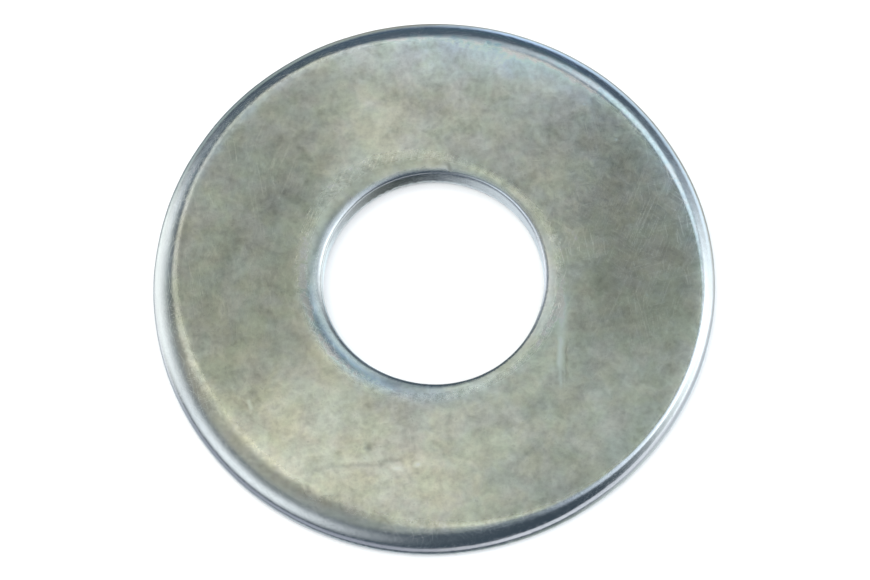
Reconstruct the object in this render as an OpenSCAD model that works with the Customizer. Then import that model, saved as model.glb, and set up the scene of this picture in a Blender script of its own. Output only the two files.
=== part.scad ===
// Plain flat washer, punched from steel strip and zinc plated. One piece.
// Millimetres. +Z runs up the bore from the back face, which lies on Z = 0, to the front face.
// Front face: the rim and the bore were both punched from this side, so both of its edges are rolled over.
// Back face: the side where the metal broke away, with only its burr tumbled off.

/* [Washer] */
// Outside diameter
outer_d = 22; // [18:0.5:40]
// Bore diameter, for an 8 mm screw
bore_d = 8.6; // [4.3:0.1:11.5]
// Thickness of the strip
thick = 1.5; // [1.5:0.1:3]

/* [Front edges, rolled over by the punch] */
// How far the roll-over reaches in from the rim
rim_roll_w = 1.05; // [0.3:0.05:1.2]
// How far the face has dropped where it meets the rim's wall
rim_roll_h = 0.9; // [0.2:0.05:0.95]
// How far the roll-over reaches out from the bore
bore_roll_w = 0.75; // [0.3:0.05:1.2]
// How far the face has dropped where it meets the bore's wall
bore_roll_h = 0.5; // [0.2:0.05:0.95]

/* [Back edges, where the metal broke away] */
// Length of wall that broke instead of being cut
break_len = 0.2; // [0.1:0.05:0.25]
// How far the broken wall leans away from the cut one
break_taper = 0.04; // [0.01:0.01:0.08]
// Round left on the back edges once the burr is tumbled off
back_round = 0.15; // [0.05:0.01:0.2]

/* [Finish] */
// Colour of the zinc plate
plate_colour = "silver"; // [silver, gainsboro, lightgray]

/* [Hidden] */

rim_r = outer_d / 2;
bore_r = bore_d / 2;
// Steps in each roll-over and in each small round: the section is turned into true cones, planes and cylinders
roll_steps = 14;
round_steps = 4;

// A roll-over is a quarter of an ellipse: flat with the face at f = 0, and upright with the wall at f = 90.
// side is 1 at the rim and -1 at the bore; wall is the radius of the cut wall.
function roll_over(wall, side, w, h) =
    [for (i = [0 : roll_steps])
        let (f = 90 * i / roll_steps)
        [wall - side * w * (1 - sin(f)), thick - h * (1 - cos(f))]];

// The broken wall leans back to the small round on the back edge, which ends flat with the back face.
function break_away(wall, side) =
    [for (i = [0 : round_steps])
        let (f = 90 * i / round_steps)
        [wall - side * (break_taper + back_round * (1 - cos(f))), back_round * (1 - sin(f))]];

// One edge from the front face, down the wall and under to the back face
function edge(wall, side, w, h) =
    concat(roll_over(wall, side, w, h),
           [[wall, back_round + break_len]],
           break_away(wall, side));

function reversed(list) = [for (i = [len(list) - 1 : -1 : 0]) list[i]];

// Half section of the ring, from the rim round to the bore
module section() {
    polygon(concat(edge(rim_r, 1, rim_roll_w, rim_roll_h),
                   reversed(edge(bore_r, -1, bore_roll_w, bore_roll_h))));
}

module washer() {
    color(plate_colour)
        rotate_extrude($fn = 180)
            section();
}

washer();
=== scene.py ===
"""The looks of a punched, zinc-plated flat washer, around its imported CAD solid. Metres, +Z up the bore."""
import math

import bpy
import numpy as np
from mathutils import Matrix, Vector


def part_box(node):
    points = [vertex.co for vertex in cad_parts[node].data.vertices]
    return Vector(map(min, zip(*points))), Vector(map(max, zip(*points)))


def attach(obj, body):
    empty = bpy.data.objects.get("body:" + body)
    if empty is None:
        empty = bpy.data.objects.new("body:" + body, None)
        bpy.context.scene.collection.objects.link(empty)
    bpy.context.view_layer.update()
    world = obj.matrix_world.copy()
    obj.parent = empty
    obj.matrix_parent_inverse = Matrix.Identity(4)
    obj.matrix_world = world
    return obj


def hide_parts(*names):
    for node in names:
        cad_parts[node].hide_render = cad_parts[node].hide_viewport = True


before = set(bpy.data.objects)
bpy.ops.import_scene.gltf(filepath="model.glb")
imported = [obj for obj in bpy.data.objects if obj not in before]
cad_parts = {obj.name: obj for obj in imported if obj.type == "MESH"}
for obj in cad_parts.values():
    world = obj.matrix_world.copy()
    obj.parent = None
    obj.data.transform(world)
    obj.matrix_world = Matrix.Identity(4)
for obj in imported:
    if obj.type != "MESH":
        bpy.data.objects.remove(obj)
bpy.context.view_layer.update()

MM = 0.001
lo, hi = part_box("washer")
RIM = (hi.x - lo.x) / 2 / MM       # outside radius, mm
THICK = (hi.z - lo.z) / MM         # thickness, mm
BORE = 4.3                         # bore radius, mm
INSET = 0.012                      # the plated skin's high spots stay this far inside the CAD faces, mm

# ------------------------------------------------------------------ camera
# The washer fills most of the frame and is seen 19.2 degrees off its axis.
TILT = math.radians(19.2)          # between the bore's axis and the line of sight
NEAR = math.radians(87)            # where the near side points in the picture: 90 is straight down
DIST = 140.0                       # camera to the middle of the front face, mm
PX_MM = 25.75                      # picture scale at that distance, pixels of 870 per mm
CENTRE = (433.3, 275.1)            # where the middle of the front face lands, of 870 x 580

u1 = Vector((0, -1, 0))            # the side of the washer nearest the camera
u2 = Vector((-1, 0, 0))
look = u1 * math.sin(TILT) + Vector((0, 0, math.cos(TILT)))
e1 = u1 * math.cos(TILT) - Vector((0, 0, math.sin(TILT)))
right = e1 * math.cos(NEAR) - u2 * math.sin(NEAR)
down = e1 * math.sin(NEAR) + u2 * math.cos(NEAR)

cam_data = bpy.data.cameras.new("camera")
cam = bpy.data.objects.new("camera", cam_data)
bpy.context.scene.collection.objects.link(cam)
cam_data.sensor_width = 36.0
cam_data.lens = PX_MM * DIST / 870 * 36
cam_data.clip_start, cam_data.clip_end = 0.001, 10.0
off = right * ((435 - CENTRE[0]) / PX_MM) + down * ((290 - CENTRE[1]) / PX_MM)
pos = Vector((0, 0, THICK)) + look * DIST + off
rot = Matrix((right, -down, look)).transposed()
cam.matrix_world = Matrix.Translation(pos * MM) @ rot.to_4x4()
bpy.context.scene.camera = cam

# ------------------------------------------------------------------ seeded noise on a ring
rng = np.random.default_rng(20)


def ring_noise(n, lowest, highest, falloff=1.0, seed=0):
    """Smooth periodic noise at n angles, unit standard deviation."""
    g = np.random.default_rng(1000 + seed)
    a = np.linspace(0, 2 * np.pi, n, endpoint=False)
    out = np.zeros(n)
    for k in range(lowest, highest + 1):
        amp = g.normal() / k ** falloff
        out += amp * np.cos(k * a + g.uniform(0, 2 * np.pi))
    return out / out.std()


def field(x, y, z, wavelength, seed, octaves=1, gain=0.5):
    """Smooth noise at points in mm: a sum of plane waves in seeded directions, about unit standard deviation."""
    g = np.random.default_rng(5000 + seed)
    out = np.zeros_like(x)
    norm = 0.0
    for o in range(octaves):
        wl, amp = wavelength / 2 ** o, gain ** o
        n = 14
        for _ in range(n):
            d = g.normal(size=3)
            d /= np.linalg.norm(d)
            k = 2 * np.pi / (wl * g.uniform(0.75, 1.4))
            out += amp * np.cos(k * (d[0] * x + d[1] * y + d[2] * z) + g.uniform(0, 2 * np.pi))
        norm += n / 2 * amp ** 2
    return out / math.sqrt(norm)


def smooth(t):
    t = np.clip(t, 0, 1)
    return t * t * (3 - 2 * t)


# ------------------------------------------------------------------ the washer's skin
NA = 720
ANG = np.linspace(0, 2 * np.pi, NA, endpoint=False)     # angle from +X


def bend(n, m, k, ratio):
    """n steps across a roll-over, 0 at the face to 1 at the wall, that turn the surface by about equal angles."""
    d = np.linspace(0, 1, 4001)[1:-1]
    slope = ratio * m / k * d ** (m - 1) * (1 - d ** m) ** (1 / k - 1)
    lean = np.r_[0, np.arctan(slope), math.pi / 2]
    d = np.r_[0, d, 1]
    return np.interp(np.linspace(0, math.pi / 2, n + 1), lean, d)


# The rows of the skin, from the inner end of the front face outward, round the rim, back under and up the bore.
COUNTS = (("front", 42), ("rim_roll", 25), ("rim_wall", 6), ("rim_torn", 6), ("rim_round", 6),
          ("back", 14), ("bore_round", 6), ("bore_torn", 5), ("bore_wall", 6), ("bore_roll", 22))
ROWS = [(part, k, k / n) for part, n in COUNTS for k in range(n)]
NP = len(ROWS)


# What the punching left uneven, by angle.
def toward(deg):
    """1 on the side of the washer that points along a picture heading, -1 opposite. 0 right, 90 down, 270 up."""
    return np.cos(ANG + math.radians(deg))


def lobes(count, deg):
    """As toward, with count lobes, one of them along the heading."""
    return np.cos(count * (ANG + math.radians(deg)))


def near(deg, wide):
    """1 along a heading, fading over about so many degrees to both sides of it."""
    return np.exp(-(np.degrees(np.arccos(np.clip(toward(deg), -1, 1))) / wide) ** 2 / 2)


RIM_M, RIM_K = 1.5, 2.4            # shape of the rim's roll-over: under 2 it starts to lean early, over 2 it ends abruptly
BORE_M, BORE_K = 2.6, 2.2
roll_w_rim = (0.90 + 0.24 * toward(187) + 0.32 * lobes(2, 125) + 0.09 * near(12, 22)
              + 0.08 * near(225, 20) - 0.06 * near(295, 18) - 0.08 * near(235, 22)
              + 0.015 * ring_noise(NA, 3, 9, 1.0, 1))
roll_h_rim = np.minimum(0.88 + 0.18 * toward(41), 0.94) + 0.008 * ring_noise(NA, 2, 7, 1.0, 2)
roll_w_bore = (0.80 + 0.24 * toward(202) + 0.12 * lobes(2, 32) + 0.12 * lobes(3, 117)
               + 0.02 * ring_noise(NA, 2, 7, 1.0, 3))
roll_h_bore = 0.24 + 0.06 * toward(185) + 0.05 * lobes(2, 180) - 0.08 * near(60, 38) + 0.008 * ring_noise(NA, 2, 6, 1.0, 4)
rim_out = -0.006 - 0.035 * toward(50) - 0.05 * (1 - lobes(2, 140)) + 0.09 * near(12, 22) - np.abs(0.004 * ring_noise(NA, 3, 9, 1.0, 5))
bore_in = 0.03 + 0.03 * toward(45) + 0.07 * near(68, 20) - 0.05 * near(0, 20) + np.abs(0.004 * ring_noise(NA, 3, 8, 1.0, 6))
rim_m = (RIM_M + 0.40 * toward(50) + 0.20 * near(65, 25) + 0.25 * near(115, 15)
         + 0.80 * near(250, 38) + 0.25 * near(310, 20))
rim_k = RIM_K - 0.72 * near(268, 48)
torn_rim = 0.31 + 0.02 * ring_noise(NA, 3, 30, 0.6, 7)
torn_bore = 0.36 + 0.03 * ring_noise(NA, 3, 24, 0.6, 8)

R0 = RIM - INSET + rim_out
B0 = BORE + INSET + bore_in
TOP = THICK - INSET
ROUND, TAPER = 0.15, 0.04
rim_bend = bend(25, RIM_M, RIM_K, 0.95)
bore_bend = bend(22, BORE_M, BORE_K, 0.52)


def face_height(r_):
    """The front face, drawn down slightly for about a millimetre all along both edges."""
    rim = 0.09 * np.clip(1 - (R0 - r_) / 1.05, 0, 1) ** 2
    bore = 0.02 * np.clip(1 - (r_ - B0) / 1.1, 0, 1) ** 2
    return TOP - rim - bore


def drop(d, m, k):
    return 1 - np.maximum(1 - d ** m, 0) ** (1 / k)


r = np.zeros((NP, NA))
z = np.zeros((NP, NA))
nr = np.zeros((NP, NA))            # outward direction of the section, for the small relief
nz = np.zeros((NP, NA))
torn = np.zeros((NP, NA))          # 1 where the metal broke away
cut = np.zeros((NP, NA))           # 1 on the walls that the tools sheared
top = np.zeros((NP, NA))           # 1 on the front face and its roll-overs
lip_wear_and_sheen = np.zeros((NP, NA))           # 1 where the face starts to lean over: tumbled smoother there, and lightened as a painted highlight
wall_top_rim = face_height(R0) - roll_h_rim
wall_top_bore = face_height(B0) - roll_h_bore
for j, (part, k, t) in enumerate(ROWS):
    if part == "front":
        a0, a1 = B0 + roll_w_bore, R0 - roll_w_rim
        r[j] = a0 + (a1 - a0) * t
        z[j], nz[j], top[j] = face_height(r[j]), 1, 1
        lip_wear_and_sheen[j] = np.maximum(np.exp(-(((a0 - r[j]) / roll_w_bore - 0.15) / 0.25) ** 2),
                            np.exp(-(((r[j] - a1) / roll_w_rim - 0.15) / 0.25) ** 2))
    elif part == "rim_roll":
        d = rim_bend[k]
        r[j] = R0 - roll_w_rim * (1 - d)
        z[j] = face_height(r[j]) - roll_h_rim * drop(d, rim_m, rim_k)
        nr[j], nz[j], top[j] = math.sin(t * math.pi / 2), math.cos(t * math.pi / 2), 1
        lip_wear_and_sheen[j] = math.exp(-((d - 0.15) / 0.25) ** 2)
    elif part == "rim_wall":
        r[j], z[j], nr[j] = R0, wall_top_rim * (1 - t) + torn_rim * t, 1
        cut[j] = 1
    elif part == "rim_torn":
        r[j] = R0 - TAPER * t
        z[j], nr[j] = torn_rim * (1 - t) + (ROUND + INSET) * t, 1
        torn[j], cut[j] = smooth(np.array(t / 0.3)), 1 - smooth(np.array(t / 0.3))
    elif part == "rim_round":
        f = t * math.pi / 2
        r[j] = R0 - TAPER - ROUND * (1 - math.cos(f))
        z[j] = INSET + ROUND * (1 - math.sin(f))
        nr[j], nz[j] = math.cos(f), -math.sin(f)
        torn[j] = 1 - t
    elif part == "back":
        a0, a1 = R0 - TAPER - ROUND, B0 + TAPER + ROUND
        r[j], z[j], nz[j] = a0 + (a1 - a0) * t, INSET, -1
    elif part == "bore_round":
        f = t * math.pi / 2
        r[j] = B0 + TAPER + ROUND * (1 - math.sin(f))
        z[j] = INSET + ROUND * (1 - math.cos(f))
        nr[j], nz[j] = -math.sin(f), -math.cos(f)
        torn[j] = t
    elif part == "bore_torn":
        r[j] = B0 + TAPER * (1 - t)
        z[j], nr[j] = (ROUND + INSET) * (1 - t) + torn_bore * t, -1
        torn[j], cut[j] = 1 - smooth(np.array((t - 0.7) / 0.3)), smooth(np.array((t - 0.7) / 0.3))
    elif part == "bore_wall":
        r[j], z[j], nr[j] = B0, torn_bore * (1 - t) + wall_top_bore * t, -1
        cut[j] = 1
    elif part == "bore_roll":
        d = bore_bend[22 - k]
        r[j] = B0 + roll_w_bore * (1 - d)
        z[j] = face_height(r[j]) - roll_h_bore * drop(d, BORE_M, BORE_K)
        f = (1 - t) * math.pi / 2
        nr[j], nz[j], top[j] = -math.sin(f), math.cos(f), 1
        lip_wear_and_sheen[j] = math.exp(-((d - 0.15) / 0.25) ** 2)

# The lip's painted highlight is weakened on the outer edge at headings 115 and 218, lower left and upper left in view.
lip_wear_and_sheen *= 1 - (0.6 * near(115, 18) + 0.8 * near(218, 20)) * (r > 7)

# How far each point leans away from the face, 0 flat to 1 at 32 degrees and more: edges are tumbled smoother
dr, dz = np.roll(r, -1, 0) - np.roll(r, 1, 0), np.roll(z, -1, 0) - np.roll(z, 1, 0)
edge = np.clip((1 - np.abs(dr) / np.maximum(np.hypot(dr, dz), 1e-6)) / 0.15, 0, 1)

x, y = r * np.cos(ANG), r * np.sin(ANG)

# Painted highlights, reflections and shade, multiplied into the plate's colour: heading, distance from the axis in mm,
# how far they spread (degrees and mm), and what they do to the metal's reflectance
PAINTED_LIGHT_SPOTS = ((118, 8.3, 26, 1.6, (1.22, 1.18, 1.10)), (58, 7.0, 15, 2.0, (1.12, 1.10, 1.07)),
          (12, 7.8, 14, 1.5, (0.85, 0.86, 0.87)), (350, 5.6, 18, 0.4, (1.34, 1.32, 1.36)),
          (60, 5.6, 25, 0.4, (1.12, 1.12, 1.12)), (170, 8.2, 13, 1.5, (0.88, 0.89, 0.88)),
          (210, 5.6, 40, 0.4, (1.10, 1.09, 1.07)), (200, 9.5, 12, 0.8, (1.15, 1.13, 1.11)),
          (240, 8.8, 12, 1.5, (0.89, 0.87, 0.84)), (236, 6.3, 14, 0.8, (1.13, 1.09, 1.03)),
          (262, 7.8, 12, 2.0, (1.13, 1.09, 1.08)), (287, 9.9, 20, 0.9, (1.18, 1.34, 1.70)),
          (309, 7.0, 15, 2.0, (0.87, 0.87, 0.88)), (296, 4.9, 15, 0.4, (0.80, 0.82, 0.80)),
          (145, 4.95, 28, 0.2, (1.01, 1.09, 1.27)), (182, 4.9, 12, 0.4, (1.22, 1.20, 1.20)),
          (96, 8.0, 9, 1.8, (1.12, 1.09, 1.09)), (142, 8.9, 10, 0.9, (1.13, 1.12, 1.08)),
          (150, 5.6, 14, 0.4, (0.90, 0.88, 0.84)), (188, 9.98, 13, 0.13, (0.66, 0.66, 0.66)),
          (210, 10.17, 18, 0.12, (0.80, 0.82, 0.87)), (203, 10.42, 12, 0.14, (1.25, 1.27, 1.30)),
          (118, 10.05, 16, 0.2, (0.70, 0.70, 0.74)), (62, 10.4, 15, 0.4, (0.76, 0.79, 0.82)),
          (342, 10.1, 14, 0.4, (1.22, 1.28, 1.42)),
          (300, 9.86, 22, 0.18, (1.02, 1.07, 1.02)), (92, 4.95, 14, 0.3, (0.84, 0.89, 0.98)),
          (80, 4.45, 26, 0.2, (1.25, 1.24, 1.23)), (6, 4.45, 18, 0.2, (1.28, 1.28, 1.38)),
          (224, 10.03, 18, 0.12, (1.20, 1.26, 1.40)), (8, 10.6, 18, 0.3, (1.20, 1.20, 1.20)),
          (238, 5.6, 12, 0.3, (1.12, 1.13, 1.15)), (330, 5.7, 14, 0.4, (1.10, 1.08, 1.03)),
          (238, 10.42, 22, 0.13, (1.36, 1.38, 1.40)), (290, 10.28, 22, 0.14, (1.20, 1.22, 1.24)),
          (22, 5.05, 14, 0.28, (1.23, 1.31, 1.37)), (32, 4.6, 22, 0.11, (0.80, 0.84, 0.87)),
          (128, 4.82, 18, 0.13, (1.24, 1.36, 1.58)), (158, 4.97, 18, 0.14, (1.20, 1.27, 1.30)),
          (308, 4.5, 20, 0.1, (1.32, 1.37, 1.48)), (304, 4.85, 16, 0.12, (0.84, 0.85, 0.90)),
          (346, 4.7, 13, 0.13, (0.72, 0.74, 0.77)), (312, 9.93, 14, 0.08, (1.28, 1.30, 1.26)))
# painted light: a colour gain at each point, above 1 for painted highlights and reflections, below 1 for painted shade
painted_light = np.zeros((NP, NA, 3))
for deg, at, wide, deep, gain in PAINTED_LIGHT_SPOTS:
    painted_light += (near(deg, wide) * np.exp(-((r - at) / deep) ** 2 / 2) * top)[..., None] * np.log(gain)
painted_light = np.exp(painted_light)
shade = (1 - top) * (r < BORE + 0.4) * (z > INSET)        # the bore's wall and the torn band under it, where shade and a highlight are painted
# Painted shade darkens the bore's wall towards the upper left, and a painted highlight lightens it towards the upper
# right.
painted_light *= (1 - 0.72 * shade * near(248, 24) + 0.45 * shade * near(325, 25))[..., None]

# Small relief along the section's own outward direction, mm
h = np.zeros((NP, NA))
h += 0.0035 * field(x, y, z, 4.0, 11, 2)                 # the strip's own waviness
h += 0.0008 * field(x, y, z, 0.9, 12, 2)                 # soft dimpling from tumbling
h += torn * 0.005 * field(x * 1.5, y * 1.5, z * 0.8, 0.35, 13, 2)
h = np.clip(h, -0.05, INSET * 0.9)
x, y, z = x + h * nr * np.cos(ANG), y + h * nr * np.sin(ANG), z + h * nz

verts = np.stack([x, y, z], -1).reshape(-1, 3) * MM
idx = np.arange(NP * NA).reshape(NP, NA)
nxt = np.roll(idx, -1, 1)
below, below_nxt = np.roll(idx, -1, 0), np.roll(nxt, -1, 0)
faces = np.stack([idx, below, below_nxt, nxt], -1).reshape(-1, 4)
mesh = bpy.data.meshes.new("washer_skin")
mesh.from_pydata(verts.tolist(), [], faces.tolist())
mesh.polygons.foreach_set("use_smooth", [True] * len(mesh.polygons))
for name, data in (("edge", edge), ("torn", torn), ("cut", cut), ("top", top), ("lip_wear_and_sheen", lip_wear_and_sheen)):
    mesh.attributes.new(name, "FLOAT", "POINT").data.foreach_set("value", data.reshape(-1).astype(np.float32))
painted_light_rgba = np.concatenate([painted_light, np.ones((NP, NA, 1))], -1).astype(np.float32)
mesh.attributes.new("painted_light", "FLOAT_COLOR", "POINT").data.foreach_set("color", painted_light_rgba.reshape(-1))
mesh.update()
washer = bpy.data.objects.new("washer_skin", mesh)
bpy.context.scene.collection.objects.link(washer)


# ------------------------------------------------------------------ node helpers
class Tree:
    def __init__(self, tree):
        self.t = tree
        tree.nodes.clear()

    def add(self, kind, props=None, **inputs):
        n = self.t.nodes.new(kind)
        for k, v in (props or {}).items():
            setattr(n, k, v)
        for k, v in inputs.items():
            self.put(n, k, v)
        return n

    def put(self, n, k, v):
        s = n.inputs[int(k[1:]) if k[0] == "i" and k[1:].isdigit() else k.replace("_", " ")]
        if isinstance(v, bpy.types.NodeSocket):
            self.t.links.new(v, s)
        elif isinstance(v, bpy.types.Node):
            self.t.links.new(v.outputs[0], s)
        else:
            s.default_value = v

    def math(self, op, a, b=0.0, c=None, clamp=False):
        n = self.add("ShaderNodeMath", {"operation": op, "use_clamp": clamp}, i0=a, i1=b)
        if c is not None:
            self.put(n, "i2", c)
        return n.outputs[0]

    def vec(self, op, a, b=(0, 0, 0), out=0):
        n = self.add("ShaderNodeVectorMath", {"operation": op}, i0=a)
        if op not in ("NORMALIZE", "LENGTH"):
            self.put(n, "i1", b)
        return n.outputs[1] if op in ("DOT_PRODUCT", "LENGTH", "DISTANCE") else n.outputs[0]

    def ramp(self, v, a, b, c=0.0, d=1.0, kind="SMOOTHSTEP"):
        n = self.add("ShaderNodeMapRange", {"interpolation_type": kind, "clamp": True})
        for i, q in enumerate((v, a, b, c, d)):
            self.put(n, f"i{i}", q)
        return n.outputs[0]

    def noise(self, coord, scale, detail=2.0, rough=0.5, distort=0.0):
        n = self.add("ShaderNodeTexNoise", {"noise_dimensions": "3D"}, Vector=coord, Scale=scale, Detail=detail,
                     Roughness=rough, Distortion=distort)
        return n.outputs[0]

    def mix(self, f, a, b):
        n = self.add("ShaderNodeMix", {"data_type": "RGBA"})
        self.put(n, "i0", f)
        self.put(n, "i6", a)
        self.put(n, "i7", b)
        return n.outputs[2]


def rgb(r_, g_, b_):
    return (r_, g_, b_, 1.0)


# ------------------------------------------------------------------ zinc plate
mat = bpy.data.materials.new("zinc_plate")
mat.use_nodes = True
t = Tree(mat.node_tree)
out = t.add("ShaderNodeOutputMaterial")
bsdf = t.add("ShaderNodeBsdfPrincipled", None, Metallic=1.0)
bsdf.inputs["Anisotropic"].default_value = 0.95
tangent = t.add("ShaderNodeTangent", {"direction_type": "RADIAL", "axis": "Z"})
t.put(bsdf, "Tangent", tangent)
t.t.links.new(bsdf.outputs[0], out.inputs[0])
co = t.add("ShaderNodeTexCoord").outputs["Object"]
a_edge, a_torn, a_cut, a_top, a_lip_wear_and_sheen = (t.add("ShaderNodeAttribute", {"attribute_name": k}).outputs["Fac"]
                                       for k in ("edge", "torn", "cut", "top", "lip_wear_and_sheen"))
pos_mm = t.vec("MULTIPLY", co, (1000, 1000, 1000))
xyz = t.add("ShaderNodeSeparateXYZ", None, Vector=pos_mm)
flat_mm = t.add("ShaderNodeCombineXYZ", None, X=xyz.outputs[0], Y=xyz.outputs[1])


def centred(v, gain):
    """A noise value around zero."""
    return t.math("MULTIPLY", t.math("SUBTRACT", v, 0.5), gain)


patches = t.noise(pos_mm, 0.8, 1, 0.5)


def hairlines(angle, length, across, seed, lo_, hi_, thin=0.012):
    """Fine straight scuffs, mostly along one direction: contour lines of a stretched noise, broken into patches."""
    m = t.add("ShaderNodeMapping", {"vector_type": "TEXTURE"}, Vector=pos_mm, Location=(seed * 7.3, seed * 3.1, 0),
              Rotation=(0, 0, math.radians(angle)), Scale=(length, across, across))
    line = t.ramp(t.math("ABSOLUTE", t.math("SUBTRACT", t.noise(m, 1.0, 0), 0.5)), thin, 0.0)
    gate = t.math("MULTIPLY", t.ramp(patches, lo_ - 0.04, lo_), t.ramp(patches, hi_ + 0.04, hi_))
    return t.math("MULTIPLY", line, gate)


wob = t.add("ShaderNodeTexNoise", {"noise_dimensions": "3D"}, Vector=flat_mm, Scale=2.2, Detail=1.0)
wobbled = t.vec("ADD", flat_mm, t.vec("MULTIPLY", t.vec("SUBTRACT", wob.outputs[1], (0.5, 0.5, 0.5)), (0.16, 0.16, 0)))


def stroke(p, q, width, strength=1.0, fade=0.25):
    """A mark on the front face from p to q, in mm, thinning out towards both ends."""
    ba = (q[0] - p[0], q[1] - p[1], 0)
    length2 = ba[0] ** 2 + ba[1] ** 2
    pa = t.vec("SUBTRACT", wobbled, (p[0], p[1], 0))
    along = t.math("DIVIDE", t.vec("DOT_PRODUCT", pa, ba), length2, clamp=True)
    foot = t.add("ShaderNodeVectorMath", {"operation": "SCALE"}, i0=ba)
    t.put(foot, "Scale", along)
    dist = t.vec("LENGTH", t.vec("SUBTRACT", pa, foot.outputs[0]))
    ends = t.math("MULTIPLY", t.ramp(along, 0.0, fade), t.ramp(along, 1.0, 1 - fade))
    return t.math("MULTIPLY", t.math("MULTIPLY", t.ramp(dist, width, 0.0), ends), strength)


def union(masks):
    m = masks[0]
    for k in masks[1:]:
        m = t.math("MAXIMUM", m, k)
    return m


cloud = t.noise(co, 380, 2, 0.5, 0.4)                    # blooms in the plate, about 2 mm
tint = t.noise(t.vec("ADD", co, (0.05, 0.02, 0)), 820, 2, 0.6, 0.3)
hue = t.noise(t.vec("ADD", co, (0.02, 0.07, 0)), 900, 2, 0.6, 0.3)
blot = t.noise(t.vec("ADD", co, (0, 0.04, 0.01)), 1500, 3, 0.6, 0.5)      # mottling, about half a millimetre
speck = t.noise(co, 4200, 2, 0.6)
grain = t.noise(co, 14000, 3, 0.65)

scuffs = union([hairlines(12, 5.0, 0.16, 1, 0.52, 0.80), hairlines(-38, 4.0, 0.18, 2, 0.20, 0.42),
                hairlines(64, 4.5, 0.15, 3, 0.40, 0.52), hairlines(98, 3.5, 0.20, 4, 0.57, 0.90)])
scratch = union([stroke((-4.95, -7.60), (-4.15, -7.42), 0.15, 0.35, 0.3), stroke((-4.40, -7.42), (-3.15, -7.50), 0.16, 0.45, 0.2),
                 stroke((-3.45, -7.49), (-2.30, -7.49), 0.16, 0.48, 0.2), stroke((-2.55, -7.47), (-2.00, -7.39), 0.19, 0.68, 0.3),
                 stroke((-2.20, -7.40), (-1.35, -7.39), 0.18, 0.60, 0.3), stroke((-2.86, -7.04), (-2.76, -6.50), 0.27, 1.0, 0.45),
                 stroke((-5.26, -8.12), (-5.16, -8.60), 0.17, 0.5, 0.4), stroke((4.98, -2.9), (4.85, -4.9), 0.10, 0.35),
                 stroke((0.72, 4.67), (0.94, 4.23), 0.14, 0.9, 0.4)])
rub = union([stroke((4.97, -0.9), (4.78, -3.3), 0.32, 0.55), stroke((4.81, -2.5), (4.66, -4.3), 0.20, 0.95),
             stroke((4.69, -3.5), (4.64, -5.0), 0.12, 0.6), stroke((-7.35, -4.6), (-7.22, -5.15), 0.13, 0.5),
             stroke((-2.08, -7.72), (-1.48, -7.78), 0.17, 0.6, 0.5), stroke((-1.20, -7.60), (-0.76, -7.63), 0.15, 0.7, 0.5),
             stroke((8.16, -1.28), (8.28, -1.21), 0.13, 0.7, 0.5), stroke((7.38, 5.17), (7.48, 5.33), 0.12, 0.7, 0.5),
             stroke((6.26, 6.74), (6.36, 6.86), 0.11, 0.6, 0.5)])
scratch = t.math("MULTIPLY", scratch, a_top)
rub = t.math("MULTIPLY", rub, a_top)

# colour: warm grey-green plate with cooler and warmer blooms, cleaner and bluer on the tumbled edges, lightened along
# the lips by a painted highlight, then scaled by the painted highlights, reflections and shade listed above
c = t.mix(t.ramp(tint, 0.34, 0.66), rgb(0.608, 0.633, 0.592), rgb(0.608, 0.633, 0.541))
c = t.vec("MULTIPLY", c, t.mix(t.ramp(hue, 0.34, 0.66), rgb(0.975, 1.005, 1.0), rgb(1.025, 0.995, 1.0)))
mottle = t.math("ADD", t.math("ADD", centred(blot, 0.78), centred(speck, 0.56)), centred(cloud, 0.66))
mottle = t.math("SUBTRACT", mottle, t.ramp(speck, 0.63, 0.74, 0, 0.20))
mottled = t.add("ShaderNodeVectorMath", {"operation": "SCALE"}, i0=c)
t.put(mottled, "Scale", t.math("ADD", mottle, 1.0))
c = mottled.outputs[0]
c = t.mix(t.math("MULTIPLY", a_edge, 0.9), c, rgb(0.625, 0.640, 0.640))
c = t.mix(t.math("MULTIPLY", a_torn, 0.3), c, rgb(0.56, 0.57, 0.56))
c = t.mix(t.math("MULTIPLY", scuffs, 0.16), c, rgb(0.76, 0.77, 0.74))
c = t.mix(t.math("MULTIPLY", scratch, 0.68), c, rgb(0.30, 0.30, 0.25))
c = t.mix(rub, c, rgb(0.83, 0.91, 0.87))
# Painted highlight: the colour is lightened by up to 27 percent along the lips.
bright = t.add("ShaderNodeVectorMath", {"operation": "SCALE"}, i0=c)
t.put(bright, "Scale", t.math("ADD", 1.0, t.math("MULTIPLY", a_lip_wear_and_sheen, 0.27)))
# the painted highlights, reflections and shade are multiplied into the base colour here
painted_lit_colour = t.vec("MULTIPLY", bright, t.add("ShaderNodeAttribute", {"attribute_name": "painted_light"}).outputs["Color"])
t.put(bsdf, "Base Color", t.vec("MINIMUM", painted_lit_colour, (0.96, 0.96, 0.96)))

rough = t.math("ADD", centred(blot, 0.06), 0.313)
rough = t.math("ADD", rough, centred(speck, 0.04))
rough = t.math("SUBTRACT", rough, t.math("MULTIPLY", a_edge, 0.122))
rough = t.math("SUBTRACT", rough, t.math("MULTIPLY", a_lip_wear_and_sheen, 0.08))
rough = t.math("ADD", rough, t.math("MULTIPLY", a_torn, 0.10))
rough = t.math("ADD", rough, t.math("MULTIPLY", scratch, 0.12), clamp=True)
t.put(bsdf, "Roughness", rough)

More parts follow.
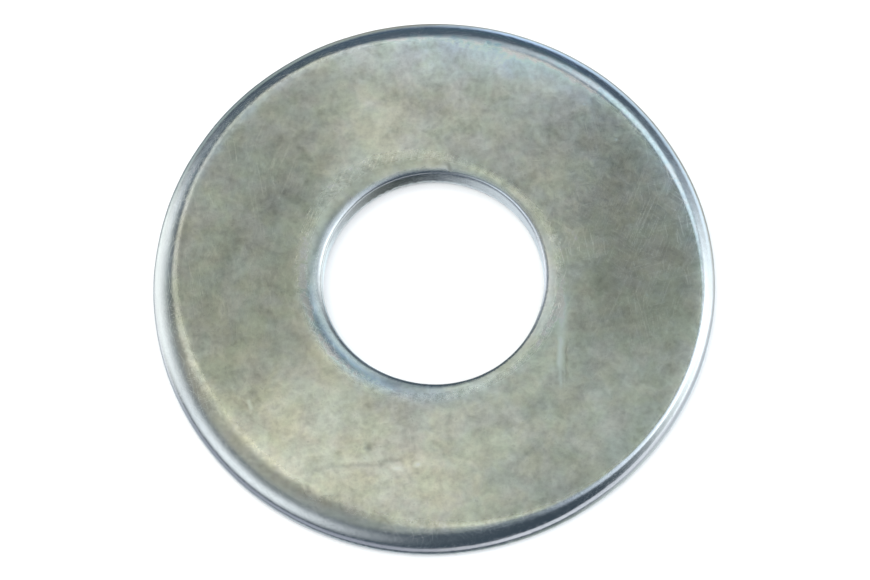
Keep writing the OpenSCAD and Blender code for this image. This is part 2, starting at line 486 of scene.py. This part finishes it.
# relief, in metres: crystalline grain of the plate, tumbling dimples, scuffs, the scratch, and the tool's marks up the
# sheared walls
wall_co = t.add("ShaderNodeVectorMath", {"operation": "MULTIPLY_ADD"}, i1=(60, 60, 60),
                i0=t.vec("NORMALIZE", t.vec("MULTIPLY", pos_mm, (1, 1, 0))))
t.put(wall_co, "i2", t.vec("MULTIPLY", pos_mm, (0, 0, 0.35)))
drag = t.noise(wall_co, 1.6, 2, 0.6)
relief = t.math("MULTIPLY", grain, 0.0000011)
relief = t.math("ADD", relief, t.math("MULTIPLY", speck, 0.0000036))
relief = t.math("ADD", relief, t.math("MULTIPLY", blot, 0.0000050))
relief = t.math("SUBTRACT", relief, t.math("MULTIPLY", scuffs, 0.0000012))
relief = t.math("SUBTRACT", relief, t.math("MULTIPLY", scratch, 0.000012))
relief = t.math("ADD", relief, t.math("MULTIPLY", t.math("MULTIPLY", drag, a_cut), 0.000006))
t.put(bsdf, "Normal", t.add("ShaderNodeBump", None, Strength=1.0, Distance=1.0, Height=relief))
mesh.materials.append(mat)

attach(washer, "root")
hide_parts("washer")

# ------------------------------------------------------------------ floor
fm = bpy.data.materials.new("pale_floor")
fm.use_nodes = True
t = Tree(fm.node_tree)
out = t.add("ShaderNodeOutputMaterial")
white = t.add("ShaderNodeBsdfDiffuse", None, Color=rgb(0.92, 0.92, 0.92))
clear = t.add("ShaderNodeBsdfTransparent")
geo = t.add("ShaderNodeNewGeometry")
mixs = t.add("ShaderNodeMixShader", None, i0=geo.outputs["Backfacing"], i1=white, i2=clear)
t.t.links.new(mixs.outputs[0], out.inputs[0])
fmesh = bpy.data.meshes.new("floor")
F, FZ = 2.0, -0.00001
fmesh.from_pydata([(-F, -F, FZ), (F, -F, FZ), (F, F, FZ), (-F, F, FZ)], [], [(0, 1, 2, 3)])
fmesh.materials.append(fm)
floor = bpy.data.objects.new("floor", fmesh)
bpy.context.scene.collection.objects.link(floor)
floor.visible_glossy = False

# ------------------------------------------------------------------ light
# Soft lamps overhead and white screens low down at the sides, with unlit gaps between them that the rolled edges pick
# up as dark bands. Headings follow the picture: 0 right, 90 down, 270 up. Polar angles start straight overhead.
world = bpy.data.worlds.new("studio")
bpy.context.scene.world = world
world.use_nodes = True
t = Tree(world.node_tree)
out = t.add("ShaderNodeOutputWorld")
d = t.vec("NORMALIZE", t.add("ShaderNodeTexCoord").outputs["Generated"])
flat = t.vec("NORMALIZE", t.vec("MULTIPLY", d, (1, 1, 0)))
sep = t.add("ShaderNodeSeparateXYZ", None, Vector=d)
polar_of = t.math("ARCCOSINE", sep.outputs[2])


def falling(angle, inner, soft):
    """1 up to inner degrees, fading to 0 over soft more."""
    return t.ramp(angle, math.radians(inner + soft), math.radians(inner))


def screen(deg, polar, half_w, half_h, soft_w, soft_h):
    a = math.radians(deg)
    aside = t.math("ARCCOSINE", t.vec("DOT_PRODUCT", flat, (math.cos(a), -math.sin(a), 0)))
    above = t.math("ABSOLUTE", t.math("SUBTRACT", polar_of, math.radians(polar)))
    return t.math("MULTIPLY", falling(aside, half_w, soft_w), falling(above, half_h, soft_h))


def lamp_at(deg, polar, radius, soft):
    a, p = math.radians(deg), math.radians(polar)
    c = t.vec("DOT_PRODUCT", d, (math.cos(a) * math.sin(p), -math.sin(a) * math.sin(p), math.cos(p)))
    return falling(t.math("ARCCOSINE", c), radius, soft)


def add_light(total, mask, colour):
    n = t.add("ShaderNodeVectorMath", {"operation": "SCALE"}, i0=colour)
    t.put(n, "Scale", mask)
    return t.vec("ADD", total, n.outputs[0])


total = t.vec("ADD", (0.075, 0.105, 0.138), (0, 0, 0))
for mask, colour in (
        (screen(358, 92, 4, 24, 42, 24), (1.42, 1.51, 1.53)),
        (screen(57, 132, 3, 8, 58, 8), (1.03, 1.03, 1.12)),
        (screen(150, 77, 4, 3, 48, 32), (1.22, 1.29, 1.36)),
        (screen(200, 97, 10, 4, 19, 56), (1.37, 1.40, 1.38)),
        (screen(296, 130, 23, 13, 28, 16), (0.26, 0.22, 0.12)),
        (screen(305, 116, 18, 8, 20, 10), (0.51, 0.68, 0.88)),
        (screen(235, 116, 18, 8, 20, 10), (0.31, 0.37, 0.35)),
        (screen(150, 128, 30, 8, 40, 14), (0.37, 0.38, 0.46)),
        (lamp_at(233, 34, 11, 9), (1.19, 1.15, 1.00)),
        (lamp_at(308, 46, 8, 15), (0.82, 0.95, 1.00)),
        (lamp_at(17, 49, 18, 16), (0.88, 0.95, 1.08)),
        (lamp_at(330, 1, 7, 19), (0.65, 0.63, 0.49)),
        (lamp_at(130, 30, 2, 25), (0.53, 0.56, 0.51)),
        (lamp_at(180, 34, 6, 14), (0.43, 0.38, 0.28)),
        (lamp_at(0, 140, 15, 14), (0.56, 0.58, 0.62)),
        (lamp_at(30, 165, 8, 10), (0.18, 0.20, 0.15)),
        (lamp_at(290, 162, 8, 10), (0.46, 0.57, 0.59)),
        (lamp_at(225, 170, 22, 8), (0.59, 0.63, 0.66))):
    total = add_light(total, mask, colour)
lit = t.add("ShaderNodeBackground", None, Color=total, Strength=1.0)
plain = t.add("ShaderNodeBackground", None, Color=rgb(1, 1, 1), Strength=1.0)
lp = t.add("ShaderNodeLightPath")
mixw = t.add("ShaderNodeMixShader", None, i0=lp.outputs["Is Camera Ray"], i1=lit, i2=plain)
t.t.links.new(mixw.outputs[0], out.inputs[0])

# One broad lamp overhead whitens the floor; it doesn't show in the metal.
lamp = bpy.data.lights.new("overhead", "SUN")
lamp.energy = 3.2
lamp.angle = math.radians(75)
lamp_ob = bpy.data.objects.new("overhead", lamp)
lamp_ob.rotation_euler = (math.radians(8), math.radians(-6), 0)
bpy.context.scene.collection.objects.link(lamp_ob)
lamp_ob.visible_glossy = False

bpy.context.scene.view_settings.view_transform = "Standard"
